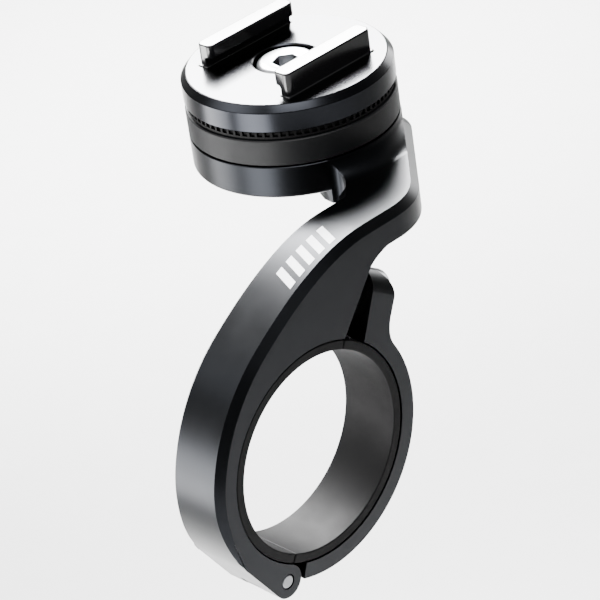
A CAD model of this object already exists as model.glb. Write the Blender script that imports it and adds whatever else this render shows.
"""Looks of a handlebar phone mount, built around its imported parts.

Sizes are in millimetres in the fields and become metres through MM. X points forward along the
head's rails, Y along the handlebar and Z up; the origin is the middle of the clamp's bore.
"""

import logging
import math
from collections.abc import Callable
from dataclasses import dataclass, field
from enum import Enum

import bpy
from mathutils import Matrix, Vector


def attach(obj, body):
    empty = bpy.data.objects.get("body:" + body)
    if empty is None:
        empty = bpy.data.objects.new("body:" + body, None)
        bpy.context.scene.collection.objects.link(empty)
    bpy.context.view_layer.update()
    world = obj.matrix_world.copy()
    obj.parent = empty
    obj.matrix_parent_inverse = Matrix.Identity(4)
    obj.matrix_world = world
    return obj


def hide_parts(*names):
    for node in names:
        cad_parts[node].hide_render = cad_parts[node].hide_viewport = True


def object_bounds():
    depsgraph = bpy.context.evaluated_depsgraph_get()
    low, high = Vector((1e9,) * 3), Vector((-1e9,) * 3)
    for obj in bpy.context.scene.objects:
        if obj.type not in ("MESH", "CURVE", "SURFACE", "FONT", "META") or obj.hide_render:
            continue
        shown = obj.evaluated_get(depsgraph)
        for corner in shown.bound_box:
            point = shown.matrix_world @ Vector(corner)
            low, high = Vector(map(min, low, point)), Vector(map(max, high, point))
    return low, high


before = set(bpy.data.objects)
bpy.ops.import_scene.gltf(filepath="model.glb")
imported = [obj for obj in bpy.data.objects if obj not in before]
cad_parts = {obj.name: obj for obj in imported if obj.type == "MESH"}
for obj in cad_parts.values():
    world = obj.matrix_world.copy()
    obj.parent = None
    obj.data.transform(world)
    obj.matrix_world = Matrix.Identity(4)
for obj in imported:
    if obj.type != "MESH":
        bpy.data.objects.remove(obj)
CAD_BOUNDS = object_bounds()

log = logging.getLogger("phone_mount")
Piece = bpy.types.Object

MM = 0.001
Point = tuple[float, float]

# Sizes and places that several pieces share.
HALF_WIDTH = 5.28
SEAT_RADIUS = 17.6
HINGE: Point = (-10.3, -17.5)
PIN_HOLE = 1.25
HEAD_AXIS: Point = (31.2, 24.8)
HEAD_RADIUS = 16.6
BASE_TOP = 34.15
# Points of an outline that are closer than this count as one.
SAME_POINT = 0.005


class Plane(Enum):
    """The plane that an outline is drawn in, and the axis that its prism runs along."""

    XZ = "runs along Y"
    XY = "runs along Z"
    YZ = "runs along X"

    def place(self, u: float, v: float, depth: float) -> Vector:
        """Put a point of the outline in space, in metres.

        Args:
            u: first coordinate in the plane, in millimetres.
            v: second coordinate in the plane, in millimetres.
            depth: distance along the prism's axis, in millimetres.

        Returns:
            The point in space, in metres.
        """
        order = {Plane.XZ: (u, depth, v), Plane.XY: (u, v, depth), Plane.YZ: (depth, u, v)}
        return Vector(order[self]) * MM


class Cut(Enum):
    """How one solid is combined with another."""

    JOIN = "UNION"
    TAKE = "DIFFERENCE"
    KEEP = "INTERSECT"


def polar(radius: float, degrees: float, centre: Point = (0.0, 0.0)) -> Point:
    """Point on a circle, from its radius and angle."""
    angle = math.radians(degrees)
    return centre[0] + radius * math.cos(angle), centre[1] + radius * math.sin(angle)


@dataclass
class Outline:
    """A closed outline, drawn as lines, arcs and curves one after another."""

    points: list[Point] = field(default_factory=list)

    def line(self, *points: Point) -> "Outline":
        """Add corners joined by straight lines.

        Args:
            points: the corners, in order.

        Returns:
            The outline, to go on drawing.
        """
        for point in points:
            if not self.points or math.dist(self.points[-1], point) > SAME_POINT:
                self.points.append(point)
        return self

    def arc(self, radius: float, start: float, end: float, centre: Point = (0.0, 0.0),
            step: float = 2.5) -> "Outline":
        """Add an arc from one angle to another, whichever way that turns.

        Args:
            radius: the arc's radius.
            start: the angle it starts at, in degrees.
            end: the angle it ends at.
            centre: the arc's centre.
            step: the angle between points.

        Returns:
            The outline, to go on drawing.
        """
        count = max(2, round(abs(end - start) / step))
        return self.line(*(polar(radius, start + (end - start) * i / count, centre)
                           for i in range(count + 1)))

    def curve(self, *handles: Point, count: int = 24) -> "Outline":
        """Add a Bezier curve from the last point, through its handles to its last one.

        Args:
            handles: the curve's handles, then its end.
            count: the number of points to add.

        Returns:
            The outline, to go on drawing.
        """
        polygon = [self.points[-1], *handles]
        for i in range(1, count + 1):
            level = polygon
            while len(level) > 1:
                level = [(a[0] + (b[0] - a[0]) * i / count, a[1] + (b[1] - a[1]) * i / count)
                         for a, b in zip(level, level[1:])]
            self.line(level[0])
        return self


# --- Modelling ---


def deselect() -> None:
    """Leave object mode and deselect everything."""
    if bpy.context.mode != "OBJECT":
        bpy.ops.object.mode_set(mode="OBJECT")
    bpy.ops.object.select_all(action="DESELECT")


def pick(piece: Piece) -> None:
    """Make one piece the active and only selected one.

    Args:
        piece: the piece.
    """
    deselect()
    piece.select_set(True)
    bpy.context.view_layer.objects.active = piece


def in_edit_mode(piece: Piece) -> None:
    """Open a piece in edit mode with all of it selected.

    Args:
        piece: the piece.
    """
    pick(piece)
    bpy.ops.object.mode_set(mode="EDIT")
    bpy.ops.mesh.select_all(action="SELECT")


def modify(piece: Piece, kind: str, **settings: object) -> None:
    """Add a modifier to a piece and apply it.

    Args:
        piece: the piece.
        kind: the modifier's type.
        settings: the modifier's own settings.
    """
    pick(piece)
    bpy.ops.object.modifier_add(type=kind)
    modifier = piece.modifiers[-1]
    for name, value in settings.items():
        setattr(modifier, name, value)
    bpy.ops.object.modifier_apply(modifier=modifier.name)


def tidy_mesh(piece: Piece) -> None:
    """Merge doubled points and turn every face outwards.

    Args:
        piece: the piece.
    """
    in_edit_mode(piece)
    bpy.ops.mesh.remove_doubles(threshold=0.002 * MM)
    bpy.ops.mesh.normals_make_consistent(inside=False)
    bpy.ops.object.mode_set(mode="OBJECT")


def prism(name: str, outline: Outline, low: float, high: float, plane: Plane) -> Piece:
    """Make a solid of one section from an outline.

    Args:
        name: the piece's name.
        outline: the section's outline.
        low: where the prism starts along its axis.
        high: where it ends.
        plane: the plane of the outline.

    Returns:
        The new piece.
    """
    deselect()
    points = outline.points
    if math.dist(points[0], points[-1]) < SAME_POINT:
        points = points[:-1]
    bpy.ops.mesh.primitive_circle_add(vertices=len(points), radius=1.0, fill_type="NGON")
    piece = bpy.context.active_object
    piece.name = name
    for vertex, (u, v) in zip(piece.data.vertices, points):
        vertex.co = plane.place(u, v, low)
    in_edit_mode(piece)
    run = plane.place(0.0, 0.0, high) - plane.place(0.0, 0.0, low)
    bpy.ops.mesh.extrude_region_move(TRANSFORM_OT_translate={"value": run})
    bpy.ops.object.mode_set(mode="OBJECT")
    tidy_mesh(piece)
    return piece


def turned(name: str, profile: list[Point], axis: Point, steps: int = 180) -> Piece:
    """Spin a closed profile round an upright axis.

    Args:
        name: the piece's name.
        profile: radius and height of each corner of the section.
        axis: where the axis stands, in X and Y.
        steps: faces round the circle.

    Returns:
        The new piece.
    """
    deselect()
    bpy.ops.mesh.primitive_circle_add(vertices=len(profile), radius=1.0, fill_type="NOTHING")
    piece = bpy.context.active_object
    piece.name = name
    for vertex, (radius, height) in zip(piece.data.vertices, profile):
        vertex.co = Vector((axis[0] + radius, axis[1], height)) * MM
    in_edit_mode(piece)
    bpy.ops.mesh.spin(steps=steps, angle=2 * math.pi, center=Vector((*axis, 0.0)) * MM, axis=(0, 0, 1))
    bpy.ops.object.mode_set(mode="OBJECT")
    tidy_mesh(piece)
    return piece


def rod(name: str, radius: float, start: Vector, end: Vector, sides: int = 64) -> Piece:
    """Make a round rod between two points.

    Args:
        name: the piece's name.
        radius: the rod's radius.
        start: the middle of one end, in millimetres.
        end: the middle of the other end.
        sides: faces round the rod.

    Returns:
        The new piece, with its place in its mesh.
    """
    deselect()
    run = end - start
    bpy.ops.mesh.primitive_cylinder_add(vertices=sides, radius=radius * MM, depth=run.length * MM)
    piece = bpy.context.active_object
    piece.name = name
    turn = Vector((0, 0, 1)).rotation_difference(run).to_matrix().to_4x4()
    piece.data.transform(Matrix.Translation((start + end) / 2 * MM) @ turn)
    return piece


def cross_rod(name: str, radius: float, middle: Point, half: float, sides: int = 64) -> Piece:
    """Make a round rod that lies along Y.

    Args:
        name: the piece's name.
        radius: the rod's radius.
        middle: where its axis stands, in X and Z.
        half: how far it reaches to each side.
        sides: faces round the rod.

    Returns:
        The new piece, with its place in its mesh.
    """
    x, z = middle
    return rod(name, radius, Vector((x, -half, z)), Vector((x, half, z)), sides)


def join_all(pieces: list[Piece], name: str) -> Piece:
    """Put separate pieces into the first one's mesh.

    Args:
        pieces: the pieces.
        name: what the joined piece is called.

    Returns:
        The joined piece.
    """
    deselect()
    for piece in pieces:
        piece.select_set(True)
    bpy.context.view_layer.objects.active = pieces[0]
    bpy.ops.object.join()
    pieces[0].name = name
    return pieces[0]


def combine(piece: Piece, tool: Piece, how: Cut) -> Piece:
    """Join, cut or intersect a piece with another one, which is used up.

    Args:
        piece: the piece that stays.
        tool: the solid that is used on it.
        how: what is done with the tool.

    Returns:
        The piece.
    """
    modify(piece, "BOOLEAN", object=tool, operation=how.value, solver="MANIFOLD")
    bpy.data.objects.remove(tool)
    return piece


def round_edges(piece: Piece, width: float, angle: float = 32.0, segments: int = 2,
                weighted: bool = False) -> None:
    """Round the edges of a piece with a bevel.

    Args:
        piece: the piece.
        width: the bevel's width, in millimetres.
        angle: edges that turn by more than this many degrees are rounded.
        segments: faces across each rounded edge.
        weighted: use the edges' own bevel weights and leave the others sharp.
    """
    modify(piece, "BEVEL", width=width * MM, segments=segments,
           limit_method="WEIGHT" if weighted else "ANGLE", angle_limit=math.radians(angle),
           use_clamp_overlap=not weighted, miter_outer="MITER_SHARP" if weighted else "MITER_ARC")


def finish_faces(piece: Piece, angle: float) -> None:
    """Shade a piece smooth, with flat faces kept flat beside their rounded edges.

    Args:
        piece: the piece.
        angle: edges that turn by more than this many degrees stay sharp.
    """
    pick(piece)
    bpy.ops.object.shade_smooth_by_angle(angle=math.radians(angle))
    modify(piece, "WEIGHTED_NORMAL", keep_sharp=True, weight=80)


def chamfer(piece: Piece, width: float, weight_of: Callable[[Vector, Vector], float]) -> None:
    """Chamfer a piece's edges, each as wide as its weight says.

    Args:
        piece: the piece.
        width: the full chamfer's width, in millimetres.
        weight_of: gives an edge's weight, 0 to 1, from its two ends in millimetres.
    """
    mesh = piece.data
    weights = mesh.attributes.new("bevel_weight_edge", "FLOAT", "EDGE")
    for edge in mesh.edges:
        first, second = (mesh.vertices[index].co / MM for index in edge.vertices)
        weights.data[edge.index].value = weight_of(first, second)
    round_edges(piece, width, segments=1, weighted=True)


# --- Finishes ---


def linear(hex_colour: str) -> tuple[float, float, float, float]:
    """Turn an sRGB hex colour into linear light.

    Args:
        hex_colour: the colour, such as "#17181a".

    Returns:
        Red, green, blue and alpha.
    """
    channels = [int(hex_colour[i:i + 2], 16) / 255 for i in (1, 3, 5)]
    values = [c / 12.92 if c <= 0.04045 else ((c + 0.055) / 1.055) ** 2.4 for c in channels]
    return (*values, 1.0)


def node(tree: bpy.types.NodeTree, kind: str, settings: dict | None = None,
         inputs: dict | None = None) -> bpy.types.Node:
    """Add a shader node with its settings and inputs.

    Args:
        tree: the material's node tree.
        kind: the node's type.
        settings: properties of the node itself.
        inputs: input names, each with a value or an output socket to link.

    Returns:
        The new node.
    """
    made = tree.nodes.new(kind)
    for name, value in (settings or {}).items():
        setattr(made, name, value)
    for name, value in (inputs or {}).items():
        if isinstance(value, bpy.types.NodeSocket):
            tree.links.new(value, made.inputs[name])
        else:
            made.inputs[name].default_value = value
    return made


@dataclass(frozen=True)
class Finish:
    """A surface with a fine grain: it varies its colour, its roughness and its relief a little."""

    name: str
    light: str
    dark: str
    roughness: float
    roughness_spread: float
    metallic: float
    grain_mm: float
    mottle_mm: float
    bump: float
    specular: float = 0.5
    coat: float = 0.0
    coat_roughness: float = 0.1
    stretch: tuple[float, float, float] = (1.0, 1.0, 1.0)

    def material(self) -> bpy.types.Material:
        """Build the finish's material.

        Returns:
            A node material named for what the surface is made of.
        """
        made = bpy.data.materials.new(self.name)
        made.use_nodes = True
        tree = made.node_tree
        shader = tree.nodes["Principled BSDF"]
        place = node(tree, "ShaderNodeTexCoord")
        mapped = node(tree, "ShaderNodeMapping", {},
                      {"Vector": place.outputs["Object"], "Scale": self.stretch})
        grain = node(tree, "ShaderNodeTexNoise", {}, {
            "Vector": mapped.outputs["Vector"], "Scale": 1.0 / (self.grain_mm * MM),
            "Detail": 4.0, "Roughness": 0.6})
        mottle = node(tree, "ShaderNodeTexNoise", {}, {
            "Vector": place.outputs["Object"], "Scale": 1.0 / (self.mottle_mm * MM),
            "Detail": 3.0, "Roughness": 0.5})
        blend = node(tree, "ShaderNodeMath", {"operation": "MULTIPLY_ADD"}, {
            0: grain.outputs["Fac"], 1: 0.45, 2: 0.0})
        both = node(tree, "ShaderNodeMath", {"operation": "MULTIPLY_ADD"}, {
            0: mottle.outputs["Fac"], 1: 0.55, 2: blend.outputs["Value"]})
        colour = node(tree, "ShaderNodeMix", {"data_type": "RGBA"}, {"Factor": both.outputs["Value"]})
        colour.inputs[6].default_value = linear(self.dark)
        colour.inputs[7].default_value = linear(self.light)
        rough = node(tree, "ShaderNodeMapRange", {}, {
            "Value": both.outputs["Value"], "From Min": 0.3, "From Max": 0.7,
            "To Min": self.roughness - self.roughness_spread,
            "To Max": self.roughness + self.roughness_spread})
        relief = node(tree, "ShaderNodeBump", {}, {
            "Strength": self.bump, "Distance": 0.03 * MM, "Height": grain.outputs["Fac"]})
        tree.links.new(colour.outputs[2], shader.inputs["Base Color"])
        tree.links.new(rough.outputs["Result"], shader.inputs["Roughness"])
        tree.links.new(relief.outputs["Normal"], shader.inputs["Normal"])
        shader.inputs["Metallic"].default_value = self.metallic
        shader.inputs["Specular IOR Level"].default_value = self.specular
        shader.inputs["Coat Weight"].default_value = self.coat
        shader.inputs["Coat Roughness"].default_value = self.coat_roughness
        return made


# Black anodised aluminium, bead blasted before it was dyed: a satin black whose grain only shows
# as a soft spread of the highlights. The real grit is finer; it is drawn as coarse as it shows.
ANODISED = Finish("anodised_aluminium", light="#17181a", dark="#111214", roughness=0.33,
                  roughness_spread=0.03, metallic=1.0, grain_mm=0.16, mottle_mm=5.0, bump=0.10)
# The same aluminium, machined after blasting: the head is smoother and shows clear reflections.
POLISHED = Finish("anodised_aluminium_turned", light="#1c1d20", dark="#151618", roughness=0.24,
                  roughness_spread=0.02, metallic=1.0, grain_mm=0.25, mottle_mm=6.0, bump=0.04)
# Hard black nylon, moulded in a polished tool: the rails mirror the lamps softly.
NYLON = Finish("glossy_nylon", light="#0c0c0d", dark="#08080a", roughness=0.2,
               roughness_spread=0.03, metallic=0.0, grain_mm=0.3, mottle_mm=4.0, bump=0.05,
               specular=0.35)
# Glass-filled nylon with an eroded mould texture: an even, matt dark grey.
MOULDED = Finish("moulded_nylon", light="#08090a", dark="#050506", roughness=0.5,
                 roughness_spread=0.05, metallic=0.0, grain_mm=0.18, mottle_mm=3.0, bump=0.25,
                 specular=0.1)
# Black moulded rubber, dull with a slight bloom: the liners stay darker than the metal.
RUBBER = Finish("liner_rubber", light="#060607", dark="#040404", roughness=0.62,
                roughness_spread=0.06, metallic=0.0, grain_mm=0.3, mottle_mm=4.0, bump=0.3,
                specular=0.06)
# Plain steel, turned: bright, with a faint grain.
STEEL = Finish("turned_steel", light="#77787a", dark="#616264", roughness=0.32,
               roughness_spread=0.05, metallic=1.0, grain_mm=0.2, mottle_mm=2.0, bump=0.08)
# Pad-printed ink, pale grey, slightly chalky.
INK = Finish("pad_print_ink", light="#c9cacc", dark="#b4b5b8", roughness=0.5,
             roughness_spread=0.05, metallic=0.0, grain_mm=0.15, mottle_mm=2.0, bump=0.05)


@dataclass
class Paintshop:
    """Makes each finish once and puts it on pieces and on the CAD nodes that stay."""

    made: dict[str, bpy.types.Material] = field(default_factory=dict)

    def dress(self, piece: Piece, finish: Finish) -> None:
        """Give a piece one finish all over.

        Args:
            piece: the piece or CAD node.
            finish: its finish.
        """
        if finish.name not in self.made:
            self.made[finish.name] = finish.material()
        piece.data.materials.clear()
        piece.data.materials.append(self.made[finish.name])


SHOP = Paintshop()


def hand_over(piece: Piece, finish: Finish, body: str, node_name: str | None,
              sharp: float | None = 30.0) -> None:
    """Shade and dress a finished piece and fasten it to its CAD body.

    Args:
        piece: the finished piece.
        finish: its finish.
        body: the CAD body that it moves with.
        node_name: the CAD node that it stands for, if it stands for one.
        sharp: edges that turn by more than this many degrees stay sharp. None leaves it flat.
    """
    if sharp is not None:
        finish_faces(piece, sharp)
    SHOP.dress(piece, finish)
    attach(piece, body)
    if node_name:
        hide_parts(node_name)
    log.info("%s: %d faces, rides on %s", piece.name, len(piece.data.polygons), body)


# --- The arm ---


@dataclass
class Arm:
    """The arm: half of the clamp, its hinge lugs, the neck and the round base under the head."""

    half: float = HALF_WIDTH
    seat: float = SEAT_RADIUS
    outer: float = 21.0
    wide: float = 29.0
    wide_start: float = 165.0
    wide_end: float = 124.5
    flat_start: float = 15.0
    end: float = 19.5
    top: float = 31.1
    under: float = 26.3
    chamfer: float = 1.2
    fade_start: float = 207.0
    fade_end: float = 186.0
    knee_reach: float = 1.9
    under_start: float = 19.0
    hinge: Point = HINGE
    knuckle: float = 2.7
    pin_hole: float = PIN_HOLE
    slot_half: float = 2.0
    gap_low: Point = (7.75, 15.7)
    gap_high: Point = (14.6, 24.1)
    head: Point = HEAD_AXIS
    head_radius: float = HEAD_RADIUS
    base_low: float = 28.9
    base_top: float = BASE_TOP
    neck_turn: float = 45.8
    neck_out: float = 17.9
    notch_start: float = -118.0
    notch_radius: float = 1.8
    notch_side: float = 21.4
    notch_back: float = 20.1
    thin_slope: float = 7.5
    thin_from: Point = (25.0, 3.0)
    edge: float = 0.12

    def outer_curve(self) -> Outline:
        """Draw the arm's outside, from its hinge lugs round the bar and over to the flat top.

        Returns:
            The open line.
        """
        reach = math.hypot(*self.hinge)
        bearing = math.degrees(math.atan2(self.hinge[1], self.hinge[0])) % 360
        tangent = bearing - math.degrees(math.acos((self.outer - self.knuckle) / reach))
        line = Outline().arc(self.knuckle, 60.0, tangent - 360.0, self.hinge, 6.0)
        low = self.points_round(line.points[-1], polar(self.outer, tangent), 6)
        line.line(*low).arc(self.outer, tangent, self.wide_start)
        centre = polar(self.outer - self.wide, self.wide_start)
        line.arc(self.wide, self.wide_start, self.wide_end, centre)
        x, z = line.points[-1]
        slope = math.radians(self.wide_end)
        reach_out, ease = 9.0, 8.0
        line.curve((x + reach_out * math.sin(slope), z - reach_out * math.cos(slope)),
                   (self.flat_start - ease, self.top), (self.flat_start, self.top), count=30)
        return line.line((self.end, self.top))

    @staticmethod
    def points_round(start: Point, end: Point, count: int) -> list[Point]:
        """Divide a straight line evenly."""
        return [(start[0] + (end[0] - start[0]) * i / count,
                 start[1] + (end[1] - start[1]) * i / count)
                for i in range(1, count + 1)]

    def plate(self) -> Piece:
        """Make the clamp's half with its chamfered outer edges.

        Returns:
            The solid.
        """
        outer = self.outer_curve()
        bearing = math.degrees(math.atan2(self.hinge[1], self.hinge[0])) % 360
        gap_angle = math.degrees(math.atan2(self.gap_low[1], self.gap_low[0]))
        section = Outline(list(outer.points))
        section.line((self.end, self.under), (self.under_start, self.under))
        slope = Vector(self.gap_high) - Vector(self.gap_low)
        slope.normalize()
        knee = (self.gap_high[0] + self.knee_reach * slope.x,
                self.gap_high[1] + self.knee_reach * slope.y)
        section.curve(knee, self.gap_high, count=10).line(self.gap_low)
        section.arc(self.seat, gap_angle, bearing)
        solid = prism("arm", section, -self.half, self.half, Plane.XZ)
        reach = [(round(x, 3), round(z, 3)) for x, z in outer.points]
        on_outside = set(reach)

        def weight(first: Vector, second: Vector) -> float:
            """Weigh an edge: full along the outside, fading out towards the hinge.

            Args:
                first: one end of the edge, in millimetres.
                second: its other end.

            Returns:
                The weight, from 0 to 1.
            """
            if abs(first.y - second.y) > 0.1:
                return 0.0
            ends = [(round(p.x, 3), round(p.z, 3)) for p in (first, second)]
            if not all(end in on_outside for end in ends):
                return 0.0
            middle = (first + second) / 2
            if math.dist((middle.x, middle.z), self.hinge) < self.knuckle + 0.2:
                return 0.0
            angle = math.degrees(math.atan2(middle.z, middle.x)) % 360
            share = (self.fade_start - angle) / (self.fade_start - self.fade_end)
            return min(1.0, max(0.0, share))

        chamfer(solid, self.chamfer, weight)
        tidy_mesh(solid)
        return solid

    def neck_outline(self, inset: float) -> Outline:
        """Draw the neck from above, all of it moved in by the same distance.

        Args:
            inset: the distance.

        Returns:
            The outline.
        """
        out = self.neck_out - inset
        front = -self.half + inset
        turn = math.radians(self.neck_turn)
        cos, sin = math.cos(turn), math.sin(turn)
        touch = (self.head[0] + out * sin, self.head[1] - out * cos)
        corner = (touch[0] - (touch[1] - front) * cos / sin, front)
        bend, along = 5.5, 5.0
        rim = self.head_radius - inset
        line = Outline().line((self.flat_start + inset, front), (corner[0] - bend, front))
        line.curve(corner, (corner[0] + bend * cos, corner[1] + bend * sin), count=14)
        line.line(touch)
        line.curve((touch[0] + along * cos / 2, touch[1] + along * sin / 2),
                   polar(rim, -24.0, self.head), count=10)
        line.line((self.head[0] + 4, self.head[1] + 2), (self.head[0] - 4, self.head[1] - 4))
        side = self.notch_side + inset
        slant = self.half - self.notch_back - inset * math.sqrt(2)
        line.line((side + 2, side + slant + 5.4), (side, side + slant + 3.4), (side, side + slant))
        line.line((self.half - inset - slant, self.half - inset))
        return line.line((self.flat_start + inset, self.half - inset))

    def notch(self) -> Piece:
        """Make the tool for the tight notch between the base and the clamp.

        Returns:
            The solid to cut away.
        """
        centre = polar(self.head_radius + self.notch_radius, self.notch_start, self.head)
        wall = polar(self.head_radius, self.notch_start, self.head)[0]
        mitre_x = self.notch_side + self.chamfer
        mitre_y = self.half - self.notch_back + mitre_x - self.chamfer * math.sqrt(2)
        top = centre[1] + 3 + self.notch_radius
        line = Outline().line((wall, top))
        line.arc(self.notch_radius, self.notch_start + 180, -45.0, centre, 6.0).line((mitre_x, mitre_y))
        line.line((mitre_x - 2 * self.chamfer, mitre_y + 2 * self.chamfer * (math.sqrt(2) - 1)))
        line.line((mitre_x - 2 * self.chamfer, top))
        return prism("notch", line, self.under - 6, self.base_top + 1, Plane.XY)

    def neck(self) -> Piece:
        """Make the neck, chamfered along its top and thinned below towards the head.

        Returns:
            The solid.
        """
        solid = prism("neck", self.neck_outline(0.0), self.under - 5, self.top, Plane.XY)
        inside = self.flat_start + 0.01

        def weight(first: Vector, second: Vector) -> float:
            """Weigh an edge: full along the top's edges that show.

            Args:
                first: one end of the edge, in millimetres.
                second: its other end.

            Returns:
                The weight, 0 or 1.
            """
            on_top = min(first.z, second.z) > self.top - 0.01
            shows = max(first.x, second.x) > inside
            return 1.0 if on_top and shows else 0.0

        chamfer(solid, self.chamfer, weight)
        far, deep = 60, 20
        below = Outline().line((0, self.under - deep), (far, self.under - deep), (far, self.under),
                               (0, self.under))
        combine(solid, prism("below", below, -far, far, Plane.XZ), Cut.TAKE)
        rise = far * math.tan(math.radians(self.thin_slope))
        wedge = Outline().line((0, 0), (0, -deep), (far, -deep), (far, rise))
        slant = prism("slant", wedge, -40, 40, Plane.XZ)
        turn = Matrix.Rotation(math.radians(self.neck_turn), 4, "Z")
        slant.data.transform(Matrix.Translation(Vector((*self.thin_from, self.under)) * MM) @ turn)
        return combine(solid, slant, Cut.TAKE)

    def flare(self) -> Piece:
        """Make the hollow sweep between the neck's top and the side of the base.

        Returns:
            The solid.
        """
        rise = self.base_top - self.top
        spread = rise + 0.2
        low = self.top - 1.0
        profile = [(12.0, low), (self.head_radius + spread, low)]
        for i in range(15):
            angle = i / 14 * math.pi / 2
            profile.append((self.head_radius + spread * (1 - math.sin(angle)),
                            self.top + rise * (1 - math.cos(angle))))
        profile.append((12.0, self.base_top))
        solid = turned("flare", profile, self.head)
        region = prism("region", self.neck_outline(self.chamfer), low - 1, self.base_top + 1, Plane.XY)
        return combine(solid, region, Cut.KEEP)

    def base(self) -> Piece:
        """Make the round base with its screw hole and softened lower rim.

        Returns:
            The solid.
        """
        rim, hole = self.head_radius, 3.1
        profile = [(hole, self.base_low), (rim - 0.5, self.base_low)]
        profile += [polar(0.5, -90 + 22.5 * i, (rim - 0.5, self.base_low + 0.5)) for i in range(1, 5)]
        profile += [(rim, self.base_top - 0.1), (rim - 0.1, self.base_top), (hole, self.base_top)]
        return turned("base", profile, self.head)

    def build(self) -> None:
        """Make the arm in one piece and hand it over."""
        bridge = combine(self.neck(), self.flare(), Cut.JOIN)
        combine(bridge, self.notch(), Cut.TAKE)
        solid = self.plate()
        for other in (bridge, self.base()):
            combine(solid, other, Cut.JOIN)
        for tool in (cross_rod("slot", self.knuckle + 0.4, self.hinge, self.slot_half),
                     cross_rod("hole", self.pin_hole, self.hinge, self.half + 1, 48),
                     rod("bore", BOLT.insert + 0.15, BOLT.at(-4), BOLT.at(BOLT.insert_end + 0.15), 48)):
            combine(solid, tool, Cut.TAKE)
        tidy_mesh(solid)
        round_edges(solid, self.edge, segments=2)
        solid.name = "arm_body"
        hand_over(solid, ANODISED, "arm", "arm")

    def printed_mark(self) -> None:
        """Print a row of slanted bars on the arm's outside."""
        line = self.outer_curve().points
        lengths = [0.0]
        for first, second in zip(line, line[1:]):
            lengths.append(lengths[-1] + math.dist(first, second))
        start = next(s for s, p in zip(lengths, line) if p[0] > 0.3 and p[1] > 10)
        bars, bar, space, slant = 5, 1.35, 1.0, 1.5
        low, high, lift, ink = -3.1, 1.0, 0.03, 0.02
        rows, columns = 8, 6

        def surface(along: float, across: float) -> Vector:
            """Find a point just above the arm's outside.

            Args:
                along: distance along the outside, in millimetres.
                across: distance along Y.

            Returns:
                The point, in metres.
            """
            index = next(i for i, s in enumerate(lengths) if s >= along)
            (x0, z0), (x1, z1) = line[index - 1], line[index]
            share = (along - lengths[index - 1]) / (lengths[index] - lengths[index - 1])
            out = Vector((-(z1 - z0), 0.0, x1 - x0)).normalized() * lift
            return (Vector((x0 + (x1 - x0) * share, across, z0 + (z1 - z0) * share)) + out) * MM

        pieces = []
        for number in range(bars):
            deselect()
            bpy.ops.mesh.primitive_grid_add(x_subdivisions=columns, y_subdivisions=rows, size=1.0)
            grid = bpy.context.active_object
            for vertex in grid.data.vertices:
                share_x, share_y = vertex.co.x + 0.5, vertex.co.y + 0.5
                across = low + (high - low) * share_y
                along = start + number * (bar + space) + bar * share_x + slant * share_y
                vertex.co = surface(along, across)
            pieces.append(grid)
        mark = join_all(pieces, "printed_mark")
        tidy_mesh(mark)
        modify(mark, "SOLIDIFY", thickness=ink * MM)
        hand_over(mark, INK, "arm", None, None)


@dataclass
class ClampBolt:
    """The clamp's socket bolt, along its own axis through the ear and into the arm."""

    foot: Point = (13.9, 20.2)
    hinge: Point = HINGE
    radius: float = 2.0
    head: float = 3.4
    seat: float = -3.2
    tip: float = 6.4
    insert: float = 3.2
    insert_bore: float = 2.5
    insert_start: float = 3.6
    insert_end: float = 7.4
    head_length: float = 4.0
    socket: float = 3.0
    socket_depth: float = 2.2
    grooves: int = 11
    pitch: float = 0.7
    groove_depth: float = 0.22

    def at(self, distance: float) -> Vector:
        """Point on the bolt's axis, measured from its foot into the arm."""
        run = Vector((-(self.foot[1] - self.hinge[1]), 0.0, self.foot[0] - self.hinge[0])).normalized()
        return Vector((self.foot[0], 0.0, self.foot[1])) + run * distance

    def build(self) -> None:
        """Make the bolt with its hexagon socket, and its threaded insert."""
        head_low = self.seat - self.head_length
        bolt = rod("clamp_bolt_body", self.head, self.at(head_low), self.at(self.seat - 0.15), 72)
        round_edges(bolt, 0.35, segments=3)
        shank = rod("shank", self.radius, self.at(self.seat - 1), self.at(self.tip), 48)
        round_edges(shank, 0.4, segments=1)
        combine(bolt, shank, Cut.JOIN)
        for number in range(self.grooves):
            middle = self.tip - 0.6 - number * self.pitch
            run = self.at(middle + 1) - self.at(middle)
            combine(bolt, groove(self.at(middle), run, self.radius, self.groove_depth), Cut.TAKE)
        socket = rod("socket", self.socket / math.sqrt(3), self.at(head_low - 1),
                     self.at(head_low + self.socket_depth), 6)
        combine(bolt, socket, Cut.TAKE)
        tidy_mesh(bolt)
        hand_over(bolt, STEEL, "clamp_bolt", "clamp_bolt")
        insert = rod("clamp_insert", self.insert, self.at(self.insert_start), self.at(self.insert_end))
        bore = rod("bore", self.insert_bore, self.at(0), self.at(self.insert_end + 1), 48)
        combine(insert, bore, Cut.TAKE)
        round_edges(insert, 0.15)
        hand_over(insert, STEEL, "arm", "clamp_thread_insert")


def groove(centre: Vector, along: Vector, radius: float, depth: float) -> Piece:
    """Make the ring that cuts a thread groove.

    Args:
        centre: the middle of the ring, in millimetres.
        along: the axis of the ring.
        radius: the shank's radius.
        depth: how deep the groove is.

    Returns:
        The ring, with a diamond section.
    """
    deselect()
    bpy.ops.mesh.primitive_torus_add(major_radius=radius * MM, minor_radius=depth * MM,
                                     major_segments=48, minor_segments=4)
    ring = bpy.context.active_object
    turn = Vector((0, 0, 1)).rotation_difference(along).to_matrix().to_4x4()
    ring.data.transform(Matrix.Translation(centre * MM) @ turn)
    return ring


BOLT = ClampBolt()


# --- The jaw, the liners and the hinge pin ---


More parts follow.
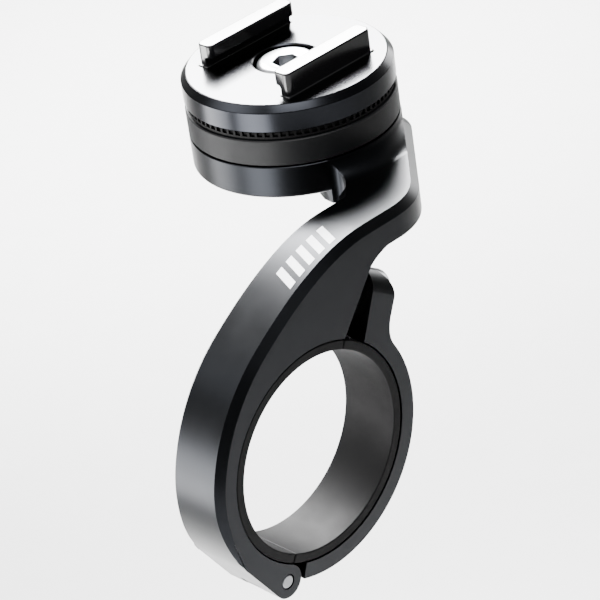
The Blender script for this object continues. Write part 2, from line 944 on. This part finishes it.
@dataclass
class Jaw:
    """The clamp's swinging half, with the ear that the bolt pulls on."""

    half: float = HALF_WIDTH
    seat: float = SEAT_RADIUS
    outer: float = 20.15
    start: float = -110.5
    ear_start: float = 29.0
    ear_low: Point = (11.7, 13.5)
    ear_tip: Point = (15.75, 22.9)
    hinge: Point = HINGE
    tongue: float = 2.65
    tongue_half: float = 1.75
    pin_hole: float = PIN_HOLE
    edge: float = 0.18
    tip: float = 48.9
    tip_corner: float = 3.9

    def section(self) -> Outline:
        """Draw the jaw from the side.

        Returns:
            The outline.
        """
        line = Outline().line(polar(self.seat, self.start)).arc(self.outer, self.start, self.ear_start)
        line.curve((16.6, 11.6), (17.5, 14.2), count=10).curve((18.4, 16.1), (19.0, 17.4), count=8)
        line.curve((19.7, 19.6), (18.4, 22.0), (15.9, 23.45), count=16)
        line.curve((15.55, 23.5), (self.ear_tip[0] - 0.15, self.ear_tip[1]), count=5)
        line.curve((15.2, 21.4), (14.5, 20.0), count=6).line(self.ear_low)
        ear = math.degrees(math.atan2(self.ear_low[1], self.ear_low[0]))
        return line.arc(self.seat, ear, self.start)

    def rounded_tip(self) -> Piece:
        """Make the solid that rounds the ear's tip, as seen along the bolt.

        Returns:
            The solid to keep.
        """
        wide, corner = self.half + 0.02, self.tip_corner
        line = Outline().line((-wide, -30.0), (wide, -30.0))
        line.arc(corner, 0.0, 90.0, (wide - corner, self.tip - corner), 7.5)
        line.arc(corner, 90.0, 180.0, (corner - wide, self.tip - corner), 7.5)
        keep = prism("rounded_tip", line, -30.0, 60.0, Plane.YZ)
        run = BOLT.at(-1) - BOLT.at(0)
        turn = Matrix.Rotation(math.atan2(-run.z, run.x), 4, "Y")
        place = Matrix.Translation(Vector((self.hinge[0], 0, self.hinge[1])) * MM)
        keep.data.transform(place @ turn)
        return keep

    def build(self) -> None:
        """Make the jaw with its tongue and its bolt hole, and hand it over."""
        jaw = prism("jaw_body", self.section(), -self.half, self.half, Plane.XZ)
        tongue = Outline().arc(self.tongue, 60.0, 282.0, self.hinge, 6.0)
        tongue.line(polar(self.outer, self.start + 3), polar(self.seat, self.start + 3))
        combine(jaw, prism("tongue", tongue, -self.tongue_half, self.tongue_half, Plane.XZ), Cut.JOIN)
        wide = self.half + 1
        combine(jaw, cross_rod("hole", self.pin_hole, self.hinge, wide, 48), Cut.TAKE)
        combine(jaw, cross_rod("seat", self.seat, (0.0, 0.0), wide, 288), Cut.TAKE)
        combine(jaw, self.rounded_tip(), Cut.KEEP)
        combine(jaw, rod("bolt_hole", BOLT.radius + 0.3, BOLT.at(-12), BOLT.at(4), 48), Cut.TAKE)
        combine(jaw, rod("head_hole", BOLT.head + 0.25, BOLT.at(-14), BOLT.at(BOLT.seat), 72), Cut.TAKE)
        tidy_mesh(jaw)
        round_edges(jaw, self.edge)
        hand_over(jaw, ANODISED, "jaw", "jaw")


@dataclass
class Liner:
    """One of the two liners between the metal and the handlebar."""

    name: str
    body: str
    node_name: str
    start: float
    end: float
    half: float = 5.18
    inner: float = 15.9
    outer: float = 17.4

    def build(self) -> None:
        """Make the liner and hand it over."""
        section = Outline().arc(self.outer, self.start, self.end, step=1.5)
        section.arc(self.inner, self.end, self.start, step=1.5)
        liner = prism(self.name, section, -self.half, self.half, Plane.XZ)
        round_edges(liner, 0.2, angle=40.0, segments=3)
        hand_over(liner, RUBBER, self.body, self.node_name)


@dataclass
class HingePin:
    """The hinge pin, with slightly domed ends."""

    hinge: Point = HINGE
    radius: float = 1.15
    half: float = 5.23

    def build(self) -> None:
        """Make the pin and hand it over."""
        pin = cross_rod("hinge_pin_body", self.radius, self.hinge, self.half)
        round_edges(pin, 0.28, segments=4)
        hand_over(pin, STEEL, "arm", "hinge_pin")


# --- The head ---


@dataclass
class Head:
    """The round twist-lock head: its disc, rails, screw, serrated ring, spacer and gasket."""

    axis: Point = HEAD_AXIS
    radius: float = HEAD_RADIUS
    low: float = 40.08
    top: float = 44.39
    bevel_in: float = 0.95
    bevel_down: float = 1.05
    screw_recess: float = 5.2
    recess_depth: float = 3.1
    screw_head: float = 4.75
    screw_radius: float = 2.5
    screw_reach: float = 4.4
    hexagon: float = 4.0
    hexagon_depth: float = 2.6
    hexagon_turn: float = -11.5
    hole: float = 2.8
    ring_hole: float = 4.0
    rail_length: float = 18.6
    rail_shift: float = 0.5
    rail_outer: float = 10.3
    rail_lip: float = 7.25
    rail_foot: float = 8.55
    rail_height: float = 3.9
    lip_low: float = 1.6
    tenon: float = 1.6
    teeth: int = 84
    spacer_low: float = 34.45
    spacer_top: float = 38.66
    base_top: float = BASE_TOP

    def disc(self) -> None:
        """Make the disc with its bevelled rim and the recess for the screw."""
        soft = 0.08
        rim = self.radius
        recess = self.top - self.recess_depth
        profile = [
            (self.hole, self.low), (rim - soft * 2, self.low), (rim, self.low + soft * 2),
            (rim, self.top - self.bevel_down - soft), (rim - soft, self.top - self.bevel_down + soft),
            (rim - self.bevel_in + soft, self.top - soft), (rim - self.bevel_in - soft, self.top),
            (self.screw_recess + 0.2, self.top), (self.screw_recess, self.top - 0.2),
            (self.screw_recess, recess), (self.hole, recess),
        ]
        disc = turned("head_disc", profile, self.axis, 240)
        for side in (-1, 1):
            pocket = self.block("pocket", side, self.rail_foot - 0.15, self.rail_outer + 0.15,
                                -self.tenon - 0.15, 1.0, self.rail_length + 0.3)
            combine(disc, pocket, Cut.TAKE)
        tidy_mesh(disc)
        hand_over(disc, POLISHED, "head", "mount_head", 20.0)

    def block(self, name: str, side: int, near: float, far: float, low: float, high: float,
              length: float) -> Piece:
        """Make a block along the rails.

        Args:
            name: the block's name.
            side: which side of the screw it is on, -1 or 1.
            near: its side nearest the screw, from the head's middle.
            far: its far side.
            low: its underside, from the head's top.
            high: its top, from the head's top.
            length: its length.

        Returns:
            The block.
        """
        across = sorted((self.axis[1] + side * near, self.axis[1] + side * far))
        corners = Outline().line((across[0], self.top + low), (across[1], self.top + low),
                                 (across[1], self.top + high), (across[0], self.top + high))
        middle = self.axis[0] + side * self.rail_shift
        return prism(name, corners, middle - length / 2, middle + length / 2, Plane.YZ)

    def rail(self, side: int, name: str, node_name: str) -> None:
        """Make one rail: a foot let into the disc and a lip that leans over towards the screw.

        Args:
            side: which side of the screw it is on, -1 or 1.
            name: the piece's name.
            node_name: the CAD node that it stands for.
        """
        rail = self.block(name, side, self.rail_foot, self.rail_outer, -self.tenon, 2.0,
                          self.rail_length)
        lip = self.block("lip", side, self.rail_lip, self.rail_outer, self.lip_low, self.rail_height,
                         self.rail_length)
        combine(rail, lip, Cut.JOIN)
        combine(rail, self.rounded_plan(side), Cut.KEEP)
        tidy_mesh(rail)
        round_edges(rail, 0.45, angle=50.0, segments=4)
        skirt = self.block("skirt", side, self.rail_foot - 0.13, self.rail_outer + 0.13, -0.4, 0.22,
                           self.rail_length + 0.26)
        round_edges(skirt, 0.2, angle=50.0, segments=3)
        combine(rail, skirt, Cut.JOIN)
        tidy_mesh(rail)
        hand_over(rail, NYLON, "head", node_name)

    def rounded_plan(self, side: int) -> Piece:
        """Make the upright block that rounds a rail's four corners as seen from above.

        Args:
            side: which side of the screw the rail is on, -1 or 1.

        Returns:
            The solid to keep.
        """
        middle = self.axis[0] + side * self.rail_shift
        near, far = sorted(self.axis[1] + side * edge for edge in (self.rail_lip, self.rail_outer))
        back, front, corner = middle - self.rail_length / 2, middle + self.rail_length / 2, 1.0
        line = Outline()
        for x, y, start in ((front - corner, far - corner, 0), (back + corner, far - corner, 90),
                            (back + corner, near + corner, 180), (front - corner, near + corner, 270)):
            line.arc(corner, start, start + 90, (x, y), 15.0)
        return prism("rounded_plan", line, self.top - 3, self.top + 5, Plane.XY)

    def screw(self) -> None:
        """Make the head screw with its dished top and hexagon socket."""
        x, y = self.axis
        seat, tip = self.top - self.recess_depth + 0.15, self.base_top - self.screw_reach
        floor = self.top - self.hexagon_depth
        profile = [
            (0.6, tip), (self.screw_radius - 0.5, tip), (self.screw_radius, tip + 0.5),
            (self.screw_radius, seat), (self.screw_head, seat), (self.screw_head, self.top - 0.9),
            (self.screw_head - 0.15, self.top - 0.45), (self.screw_head - 0.5, self.top - 0.15),
            (self.screw_head - 0.9, self.top - 0.05), (2.7, self.top - 0.35), (0.6, self.top - 0.35),
        ]
        screw = turned("head_screw_body", profile, self.axis, 120)
        socket = rod("socket", self.hexagon / math.sqrt(3), Vector((x, y, floor)),
                     Vector((x, y, self.top + 1)), 6)
        socket.data.transform(Matrix.Translation(Vector((x, y, 0)) * MM)
                              @ Matrix.Rotation(math.radians(self.hexagon_turn), 4, "Z")
                              @ Matrix.Translation(Vector((-x, -y, 0)) * MM))
        combine(screw, socket, Cut.TAKE)
        plug = rod("plug", 0.8, Vector((x, y, tip + 0.05)), Vector((x, y, floor)), 24)
        combine(screw, plug, Cut.JOIN)
        tidy_mesh(screw)
        hand_over(screw, STEEL, "head_screw", "head_screw")

    def serrations(self) -> None:
        """Make the ring whose teeth show in the slot under the head."""
        low, high = self.spacer_top + 0.15, self.low - 0.15
        core, foot, tooth_out = self.radius - 0.8, self.radius - 0.45, self.radius - 0.38
        ring = turned("serrated_ring_body", [
            (self.ring_hole, low), (foot, low), (foot, low + 0.35), (core, low + 0.35),
            (core, high), (self.ring_hole, high)], self.axis, 240)
        tooth_width, root = 0.36, 0.3
        deselect()
        bpy.ops.mesh.primitive_cube_add(size=1.0)
        tooth = bpy.context.active_object
        middle = Vector(((core - root + tooth_out) / 2, 0, (low + 0.4 + high) / 2)) * MM
        size = Vector((tooth_out - core + root, tooth_width, high - low - 0.4)) * MM
        tooth.data.transform(Matrix.Translation(middle) @ Matrix.Diagonal(size).to_4x4())
        teeth = [tooth]
        for number in range(1, self.teeth):
            copy = tooth.copy()
            copy.data = tooth.data.copy()
            bpy.context.scene.collection.objects.link(copy)
            copy.data.transform(Matrix.Rotation(2 * math.pi * number / self.teeth, 4, "Z"))
            teeth.append(copy)
        join_all(teeth, "teeth")
        tooth.data.transform(Matrix.Translation(Vector((*self.axis, 0)) * MM))
        combine(ring, tooth, Cut.JOIN)
        hand_over(ring, RUBBER, "head", "serrated_ring")

    def ring(self, name: str, profile: list[Point], finish: Finish, slot: str, node_name: str,
             steps: int = 240) -> None:
        """Turn one plain ring below the head and hand it over.

        Args:
            name: the ring's name.
            profile: radius and height of each corner of its section.
            finish: its finish.
            slot: the record's material slot that it belongs to.
            node_name: the CAD node that it stands for.
            steps: faces round the ring.
        """
        ring = turned(name, profile, self.axis, steps)
        hand_over(ring, finish, "arm", node_name)

    def rings(self) -> None:
        """Make the spacer, the gasket and the screw's insert."""
        hole, soft, rim, edge = self.ring_hole, 0.15, self.radius, self.radius - 0.5
        low, high = self.spacer_low, self.spacer_top
        self.ring("spacer_body", [
            (hole, low), (rim - soft, low), (rim, low + soft), (rim, high - soft),
            (rim - soft, high), (hole, high)], MOULDED, "spacer", "spacer_ring")
        low, high = self.base_top + 0.03, self.spacer_low - 0.03
        self.ring("gasket_body", [
            (hole, low), (edge - 0.1, low), (edge, (low + high) / 2), (edge - 0.1, high),
            (hole, high)], RUBBER, "liner", "base_gasket", 180)
        low, high, bore, out = self.base_top - 3.8, self.base_top - 0.1, self.screw_radius + 0.15, 4.2
        self.ring("head_insert_body", [
            (bore, low), (out - 0.2, low), (out, low + 0.2), (out, high - 0.2), (out - 0.2, high),
            (bore, high)], STEEL, "steel", "head_thread_insert", 96)

    def build(self) -> None:
        """Make every piece of the head."""
        self.disc()
        self.rail(-1, "rail_near_body", "rail_near")
        self.rail(1, "rail_far_body", "rail_far")
        self.screw()
        self.serrations()
        self.rings()


# --- The studio ---


@dataclass(frozen=True)
class Softbox:
    """A soft rectangular lamp that points at the object."""

    name: str
    azimuth: float
    elevation: float
    distance: float
    width: float
    height: float
    power: float
    spread: float = 180.0

    def build(self, target: Vector) -> None:
        """Put the lamp round the target and aim it.

        Args:
            target: what it points at, in metres.
        """
        azimuth, elevation = math.radians(self.azimuth), math.radians(self.elevation)
        away = Vector((math.cos(azimuth) * math.cos(elevation),
                       math.sin(azimuth) * math.cos(elevation), math.sin(elevation)))
        data = bpy.data.lights.new(self.name, "AREA")
        data.shape = "RECTANGLE"
        data.size, data.size_y = self.width, self.height
        data.energy = self.power
        data.spread = math.radians(self.spread)
        lamp = bpy.data.objects.new(self.name, data)
        bpy.context.scene.collection.objects.link(lamp)
        lamp.location = target + away * self.distance
        lamp.rotation_euler = away.to_track_quat("Z", "Y").to_euler()


@dataclass(frozen=True)
class Wash:
    """A square lamp over the background that faces straight down."""

    name: str
    place: tuple[float, float, float]
    size: float
    power: float

    def build(self) -> None:
        """Hang the lamp."""
        data = bpy.data.lights.new(self.name, "AREA")
        data.shape = "SQUARE"
        data.size = self.size
        data.energy = self.power
        lamp = bpy.data.objects.new(self.name, data)
        bpy.context.scene.collection.objects.link(lamp)
        lamp.location = self.place


@dataclass(frozen=True)
class Studio:
    """Camera, pale floor and lamps."""

    aim: Point = (16.05, 12.65)
    aim_height: float = 12.6
    azimuth: float = 41.517
    elevation: float = 29.83
    roll: float = -8.367
    distance: float = 463.0
    focal: float = 180.95
    floor_drop: float = 330.0
    daylight: float = 0.35

    def camera(self) -> None:
        """Create the camera, turned and rolled about its line of sight."""
        azimuth, elevation, roll = (math.radians(v) for v in (self.azimuth, self.elevation, self.roll))
        forward = Vector((math.sin(azimuth) * math.cos(elevation),
                          math.cos(azimuth) * math.cos(elevation), -math.sin(elevation)))
        level = Vector((math.cos(azimuth), -math.sin(azimuth), 0.0))
        upright = level.cross(forward)
        right = level * math.cos(roll) + upright * math.sin(roll)
        up = upright * math.cos(roll) - level * math.sin(roll)
        data = bpy.data.cameras.new("camera")
        data.lens = self.focal
        data.sensor_width = 36.0
        data.clip_start = 0.01
        camera = bpy.data.objects.new("camera", data)
        bpy.context.scene.collection.objects.link(camera)
        place = Matrix((right, up, -forward)).transposed().to_4x4()
        place.translation = (Vector((*self.aim, self.aim_height)) - forward * self.distance) * MM
        camera.matrix_world = place
        bpy.context.scene.camera = camera

    def floor(self) -> None:
        """Lay a wide pale floor well below the object, which a handlebar would hold up."""
        deselect()
        bpy.ops.mesh.primitive_plane_add(size=12.0)
        ground = bpy.context.active_object
        ground.name = "floor"
        ground.data.transform(Matrix.Translation((0, 0, CAD_BOUNDS[0][2] - self.floor_drop * MM)))
        paper = bpy.data.materials.new("studio_paper")
        paper.use_nodes = True
        tree = paper.node_tree
        place = node(tree, "ShaderNodeTexCoord")
        fibre = node(tree, "ShaderNodeTexNoise", {}, {"Vector": place.outputs["Object"], "Scale": 60.0})
        tone = node(tree, "ShaderNodeMapRange", {}, {
            "Value": fibre.outputs["Fac"], "To Min": 0.86, "To Max": 0.9})
        shader = tree.nodes["Principled BSDF"]
        tree.links.new(tone.outputs["Result"], shader.inputs["Base Color"])
        shader.inputs["Roughness"].default_value = 0.9
        ground.data.materials.append(paper)

    def light(self) -> None:
        """Set the lamps and the soft daylight of the room."""
        target = Vector((0.015, 0.012, 0.012))
        lamps = (
            Softbox("back_panel", 57.0, 37.0, 1.0, 0.65, 0.4, 30.0, 60.0),
            Softbox("low_panel", 137.0, -14.0, 0.6, 0.34, 0.3, 2.6, 80.0),
            Softbox("left_panel", -178.0, -25.0, 0.6, 0.35, 0.3, 2.4, 80.0),
            Softbox("upper_left_panel", 150.0, 44.0, 1.0, 0.8, 0.6, 2.2, 60.0),
            Softbox("right_panel", 8.0, 6.0, 0.7, 0.25, 0.35, 3.0),
            Softbox("top_panel", -131.0, 68.0, 0.8, 0.5, 0.4, 2.0, 60.0),
        )
        for lamp in lamps:
            lamp.build(target)
        Wash("background_wash", (0.58, 0.66, 0.0), 0.5, 16.0).build()
        world = bpy.data.worlds.new("room")
        bpy.context.scene.world = world
        world.use_nodes = True
        sky = world.node_tree.nodes["Background"]
        sky.inputs["Color"].default_value = (1.0, 1.0, 1.0, 1.0)
        sky.inputs["Strength"].default_value = self.daylight

    def build(self) -> None:
        """Set up the whole studio."""
        self.camera()
        self.floor()
        self.light()


def main() -> None:
    """Build every sub-assembly in order."""
    logging.basicConfig(level=logging.INFO, format="%(name)s: %(message)s")
    Studio().build()
    arm = Arm()
    arm.build()
    arm.printed_mark()
    Jaw().build()
    Liner("liner_arm_body", "arm", "liner_arm", 63.5, 240.0).build()
    Liner("liner_jaw_body", "jaw", "liner_jaw", -119.5, 63.0).build()
    HingePin().build()
    BOLT.build()
    Head().build()


if __name__ == "__main__":
    main()
